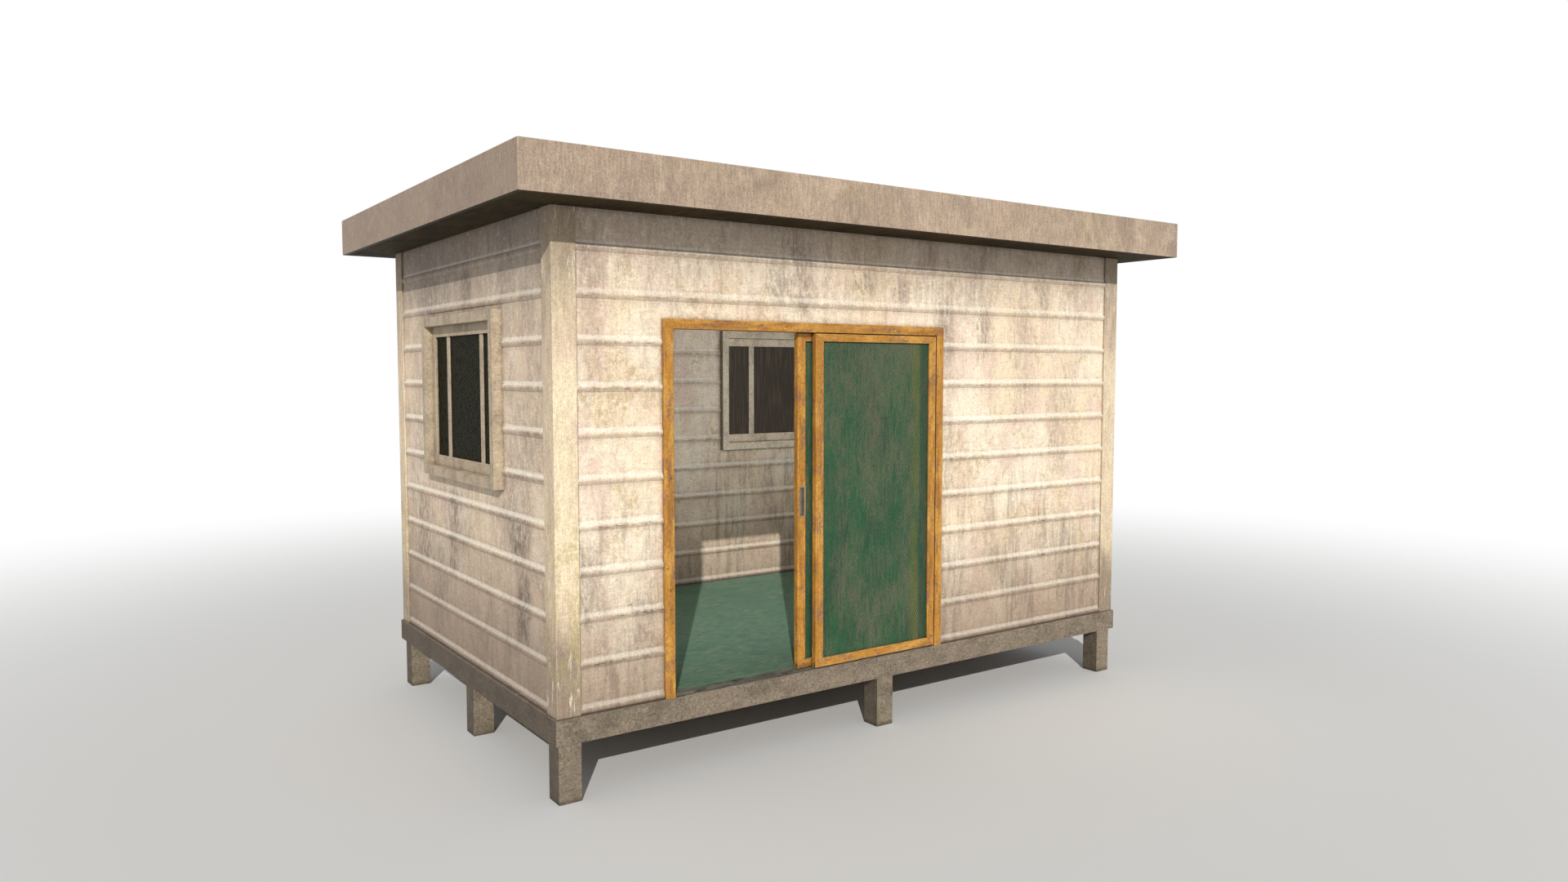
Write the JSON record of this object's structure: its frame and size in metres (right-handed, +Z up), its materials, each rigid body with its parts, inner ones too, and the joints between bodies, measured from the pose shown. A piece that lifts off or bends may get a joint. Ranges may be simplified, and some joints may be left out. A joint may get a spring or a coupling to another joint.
{
  "type": "metal shed",
  "caption": "Small weathered metal shed on short legs, with ribbed walls, a flat eaved roof, barred windows and a pair of sliding door leaves.",
  "frame": {"origin": "on the ground under the middle of the roof's outline", "axes": "+X right along the front, +Y from front to back, +Z up"},
  "size_m": [4.486, 3.006, 2.964],
  "materials": {
    "base_paint": "weathered grey-brown paint with moss",
    "deck_board": "plain boards",
    "floor_sheet": "green floor sheet, dusty",
    "post_paint": "weathered cream paint",
    "wall_paint": "weathered cream paint with streaks",
    "casing_paint": "weathered beige-grey paint",
    "sash_paint": "weathered beige-grey paint",
    "dark_glass": "dark, all but opaque",
    "sill_metal": "worn dark grey",
    "door_orange": "worn orange paint with rust",
    "door_green": "green paint with grey streaks",
    "roller_steel": "plain steel",
    "pull_metal": "dull grey metal",
    "soffit_paint": "dark brown paint",
    "roof_paint": "mottled beige-grey paint"
  },
  "bodies": {
    "shed": {"front_beam": "base_paint", "back_beam": "base_paint", "side_beams": "base_paint", "floor_joists": "base_paint", "front_legs": "base_paint", "middle_legs": "base_paint", "back_legs": "base_paint", "floor_deck": "deck_board", "floor_covering": "floor_sheet", "front_left_post": "post_paint", "front_right_post": "post_paint", "back_right_post": "post_paint", "back_left_post": "post_paint", "front_wall_left": "wall_paint", "front_wall_right": "wall_paint", "front_wall_over_door": "wall_paint", "left_wall": "wall_paint", "right_wall": "wall_paint", "back_wall": "wall_paint", "left_window_casing": "casing_paint", "right_window_casing": "casing_paint", "back_window_casing": "casing_paint", "left_window_sash": "sash_paint", "right_window_sash": "sash_paint", "back_window_sash": "sash_paint", "left_window_glass": "dark_glass", "right_window_glass": "dark_glass", "back_window_glass": "dark_glass", "door_threshold": "sill_metal", "door_head": "door_orange", "door_jambs": "door_orange", "soffit": "soffit_paint", "roof_joists": "soffit_paint", "roof_sheet": "roof_paint", "front_fascia": "roof_paint", "back_fascia": "roof_paint", "side_fascias": "roof_paint"},
    "outer_leaf": {"outer_leaf_stiles": "door_orange", "outer_leaf_rails": "door_orange", "outer_leaf_panel": "door_green", "outer_leaf_rollers": "roller_steel"},
    "inner_leaf": {"inner_leaf_stiles": "door_orange", "inner_leaf_pull_block": "door_orange", "inner_leaf_rails": "door_orange", "inner_leaf_panel": "door_green", "inner_leaf_rollers": "roller_steel", "inner_leaf_pull": "pull_metal"}
  },
  "joints": [
    {"name": "outer_leaf_slide", "type": "slide", "parent": "shed", "child": "outer_leaf", "axis": [-1, 0, 0], "range_m": [0, 0.8555]},
    {"name": "inner_leaf_slide", "type": "slide", "parent": "shed", "child": "inner_leaf", "axis": [-1, 0, 0], "range_m": [-0.091, 0.7645]}
  ]
}
